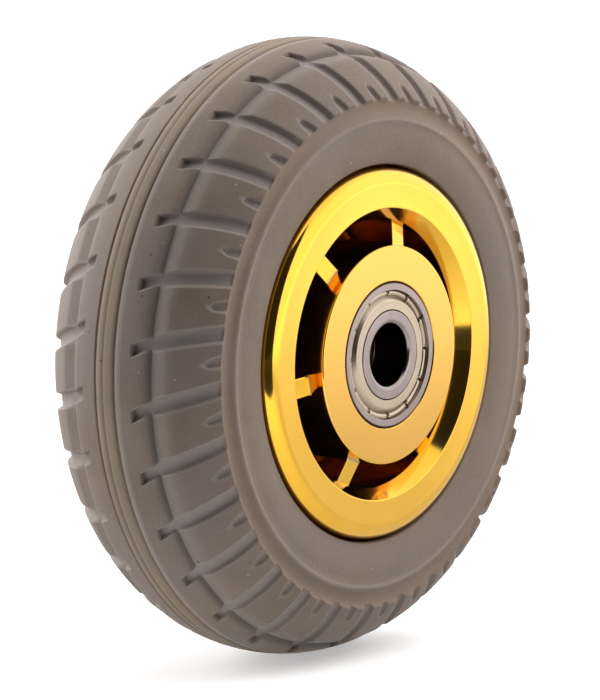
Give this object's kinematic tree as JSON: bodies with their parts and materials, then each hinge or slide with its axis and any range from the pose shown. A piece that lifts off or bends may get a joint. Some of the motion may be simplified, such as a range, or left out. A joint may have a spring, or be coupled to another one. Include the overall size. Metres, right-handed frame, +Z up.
{
  "type": "rubber trolley wheel",
  "caption": "Solid rubber trolley wheel with a moulded tread on a gold-finished spoked hub that turns on shielded ball bearings.",
  "frame": {"origin": "middle of the wheel, on the axle's axis, half way between the bearing faces", "axes": "+Y along the axle, away from the side that the picture shows; +Z up through the tread; +X to the right as seen from the shown side"},
  "size_m": [0.15, 0.055, 0.15],
  "materials": {
    "tyre_rubber": "grey-brown moulded solid rubber, satin",
    "gold_casting": "mirror-bright gold-coloured finish over a cast alloy",
    "ring_steel": "ground bearing steel",
    "shield_steel": "pressed steel sheet, satin",
    "cage_steel": "pressed steel strip",
    "ball_steel": "polished bearing steel",
    "spacer_steel": "drawn steel tube"
  },
  "bodies": {
    "axle_side": {"front_inner_ring": "ring_steel", "rear_inner_ring": "ring_steel", "spacer_tube": "spacer_steel"},
    "wheel": {"tyre": "tyre_rubber", "hub": "gold_casting", "front_outer_ring": "ring_steel", "rear_outer_ring": "ring_steel", "front_outer_shield": "shield_steel", "front_inner_shield": "shield_steel", "rear_outer_shield": "shield_steel", "rear_inner_shield": "shield_steel"},
    "front_cage": {"front_cage_outer_half": "cage_steel", "front_cage_inner_half": "cage_steel", "front_cage_rivets": "cage_steel", "front_ball_1": "ball_steel", "front_ball_2": "ball_steel", "front_ball_3": "ball_steel", "front_ball_4": "ball_steel", "front_ball_5": "ball_steel", "front_ball_6": "ball_steel", "front_ball_7": "ball_steel", "front_ball_8": "ball_steel"},
    "rear_cage": {"rear_cage_outer_half": "cage_steel", "rear_cage_inner_half": "cage_steel", "rear_cage_rivets": "cage_steel", "rear_ball_1": "ball_steel", "rear_ball_2": "ball_steel", "rear_ball_3": "ball_steel", "rear_ball_4": "ball_steel", "rear_ball_5": "ball_steel", "rear_ball_6": "ball_steel", "rear_ball_7": "ball_steel", "rear_ball_8": "ball_steel"}
  },
  "joints": [
    {"name": "wheel_spin", "type": "hinge", "parent": "axle_side", "child": "wheel", "pos_m": [0, 0, 0], "axis": [0, 1, 0], "continuous": true},
    {"name": "front_cage_spin", "type": "hinge", "parent": "axle_side", "child": "front_cage", "pos_m": [0, -0.022, 0], "axis": [0, 1, 0], "continuous": true},
    {"name": "rear_cage_spin", "type": "hinge", "parent": "axle_side", "child": "rear_cage", "pos_m": [0, 0.022, 0], "axis": [0, 1, 0], "continuous": true}
  ],
  "couplings": [
    {"joint": "front_cage_spin", "follows": "wheel_spin", "ratio": 0.61906},
    {"joint": "rear_cage_spin", "follows": "wheel_spin", "ratio": 0.61906}
  ]
}
